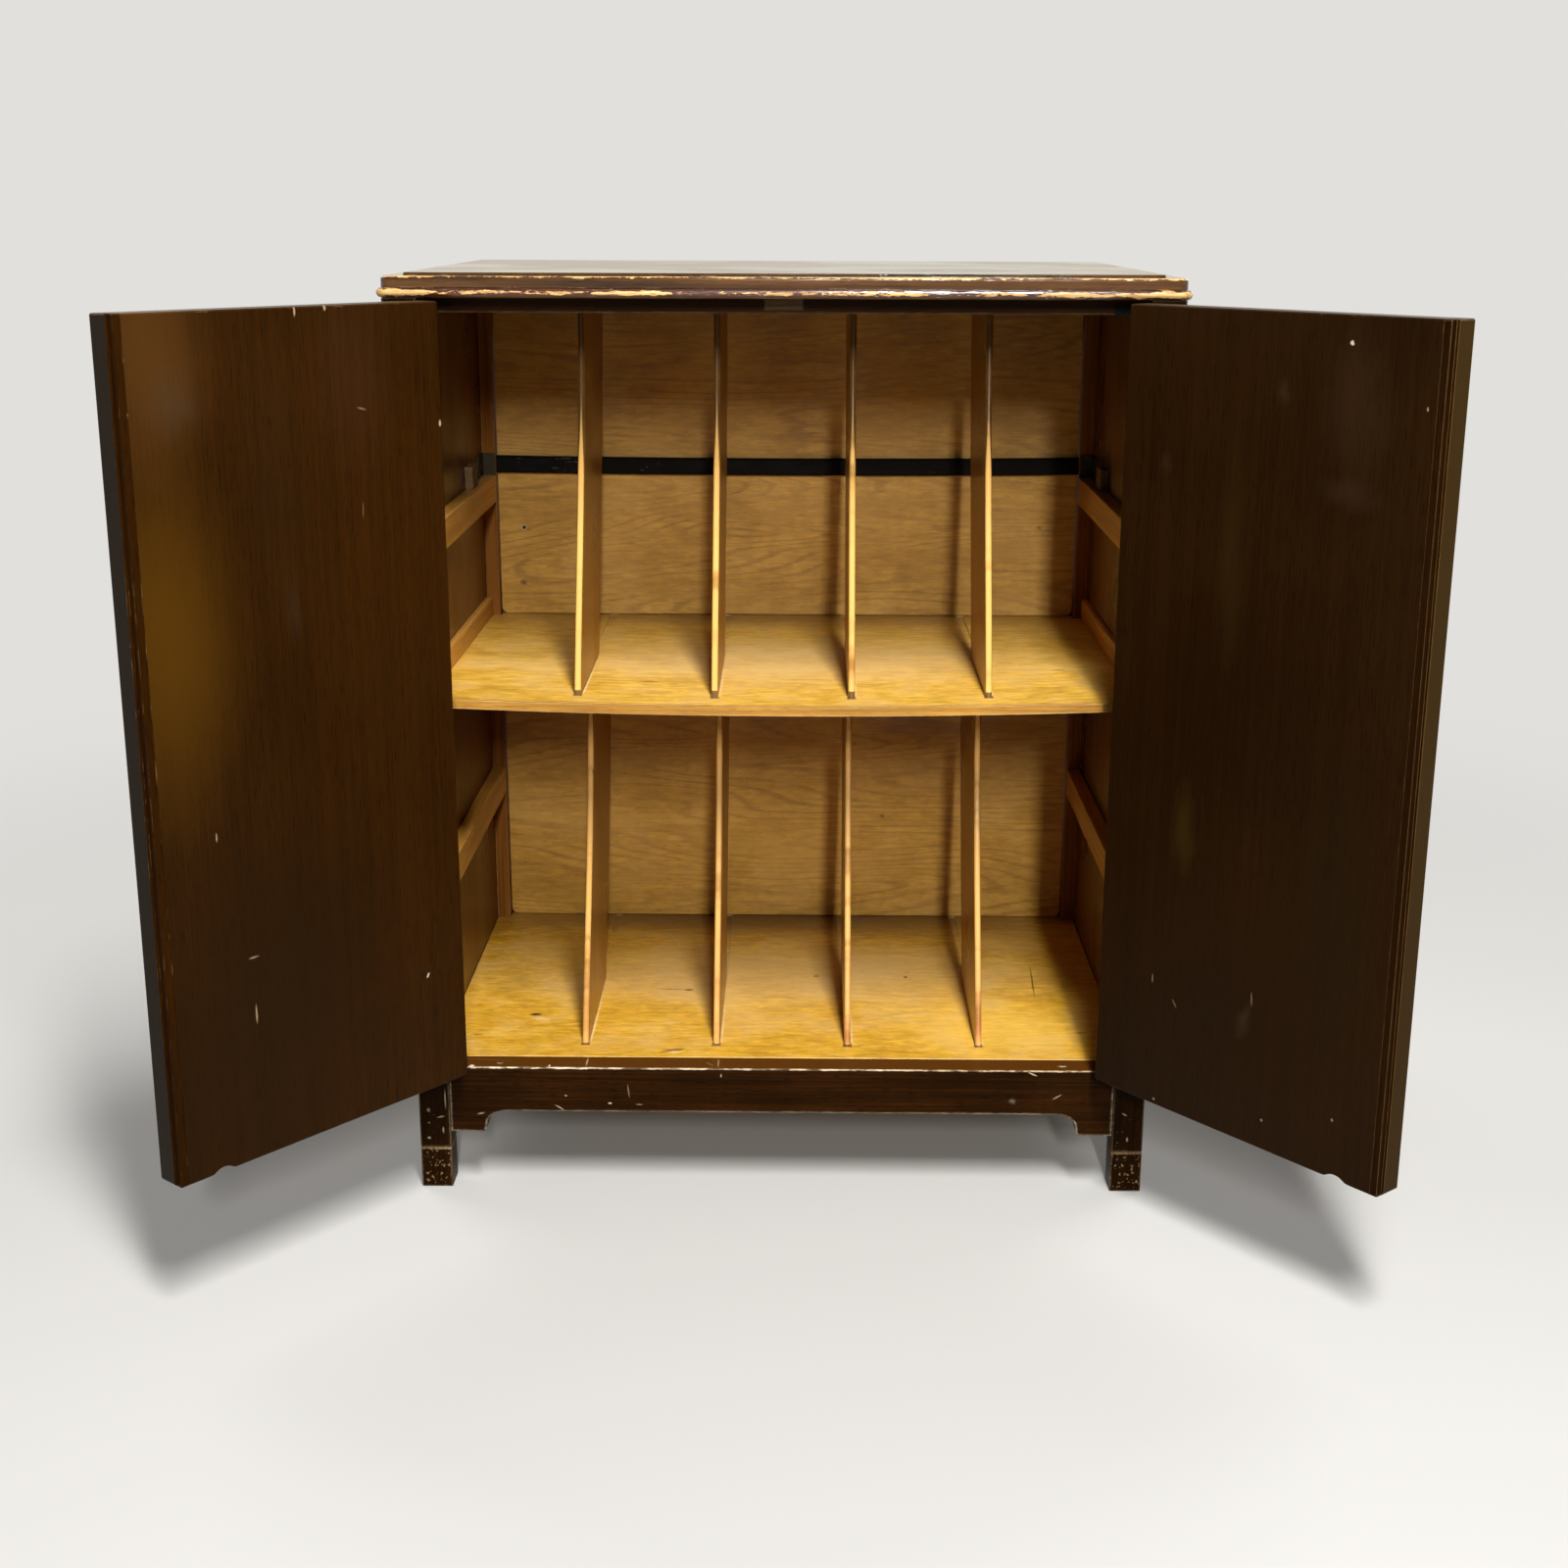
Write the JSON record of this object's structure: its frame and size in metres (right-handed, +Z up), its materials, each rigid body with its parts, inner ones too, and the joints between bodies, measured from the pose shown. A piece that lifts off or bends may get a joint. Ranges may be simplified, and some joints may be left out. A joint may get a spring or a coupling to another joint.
{
  "type": "record cabinet",
  "caption": "Low wooden record cabinet on square legs, with a moulded top, a shelf, swept upright dividers, a shaped front apron and flat doors hung between the front posts.",
  "frame": {"origin": "on the floor, under the middle of the bounding box with both doors open as at rest", "axes": "+X to the right of someone who faces the open front, +Y to the back, +Z up"},
  "size_m": [0.9764, 0.6912, 0.813],
  "materials": {
    "top_wood": "gloss lacquer",
    "worn_wood": "dark stain worn to bare wood",
    "dark_wood": "satin dark stain",
    "door_wood": "satin dark stain",
    "side_veneer": "satin",
    "plywood": "satin clear varnish",
    "back_plywood": "satin clear varnish",
    "divider_wood": "gloss clear varnish",
    "honey_wood": "satin clear varnish",
    "bare_wood": "sawn, unfinished",
    "black_rubber": "matt, scuffed",
    "steel": "dull",
    "brass": "aged"
  },
  "bodies": {
    "cabinet": {"top_board": "top_wood", "front_bead": "worn_wood", "side_bead_left": "worn_wood", "side_bead_right": "worn_wood", "front_post_left": "dark_wood", "front_post_right": "dark_wood", "back_post_left": "dark_wood", "back_post_right": "dark_wood", "front_apron": "dark_wood", "lower_side_rail_left": "dark_wood", "lower_side_rail_right": "dark_wood", "upper_side_rail_left": "dark_wood", "upper_side_rail_right": "dark_wood", "side_panel_left": "side_veneer", "side_panel_right": "side_veneer", "lower_back_rail": "dark_wood", "middle_back_rail": "dark_wood", "upper_back_rail": "dark_wood", "lower_back_panel": "back_plywood", "upper_back_panel": "back_plywood", "door_stop_rail": "dark_wood", "door_stop_block": "bare_wood", "floor_panel": "plywood", "shelf": "plywood", "shelf_lipping": "plywood", "shelf_strip_left": "honey_wood", "shelf_strip_right": "honey_wood", "upper_divider_1": "divider_wood", "upper_divider_2": "divider_wood", "upper_divider_3": "divider_wood", "upper_divider_4": "divider_wood", "lower_divider_1": "divider_wood", "lower_divider_2": "divider_wood", "lower_divider_3": "divider_wood", "lower_divider_4": "divider_wood", "upper_batten_left": "honey_wood", "upper_batten_right": "honey_wood", "lower_batten_left": "honey_wood", "lower_batten_right": "honey_wood", "buffer_strip": "black_rubber", "strip_plate_left": "steel", "strip_plate_right": "steel", "strip_block_left": "bare_wood", "strip_block_right": "bare_wood", "left_lower_hinge_post_leaf": "brass", "left_lower_hinge_pin": "brass", "left_upper_hinge_post_leaf": "brass", "left_upper_hinge_pin": "brass", "right_lower_hinge_post_leaf": "brass", "right_lower_hinge_pin": "brass", "right_upper_hinge_post_leaf": "brass", "right_upper_hinge_pin": "brass"},
    "left_door": {"left_door": "door_wood", "left_door_edge_strip": "door_wood", "left_lower_hinge_door_leaf": "brass", "left_upper_hinge_door_leaf": "brass"},
    "right_door": {"right_door": "door_wood", "right_door_edge_strip": "door_wood", "right_lower_hinge_door_leaf": "brass", "right_upper_hinge_door_leaf": "brass"}
  },
  "joints": [
    {"name": "left_door_hinge", "type": "hinge", "parent": "cabinet", "child": "left_door", "pos_m": [-0.2995, -0.10068, 0.4557], "axis": [0, 0, -1], "range_deg": [-130, 50]},
    {"name": "right_door_hinge", "type": "hinge", "parent": "cabinet", "child": "right_door", "pos_m": [0.2995, -0.10068, 0.4557], "axis": [0, 0, 1], "range_deg": [-130, 50]}
  ]
}
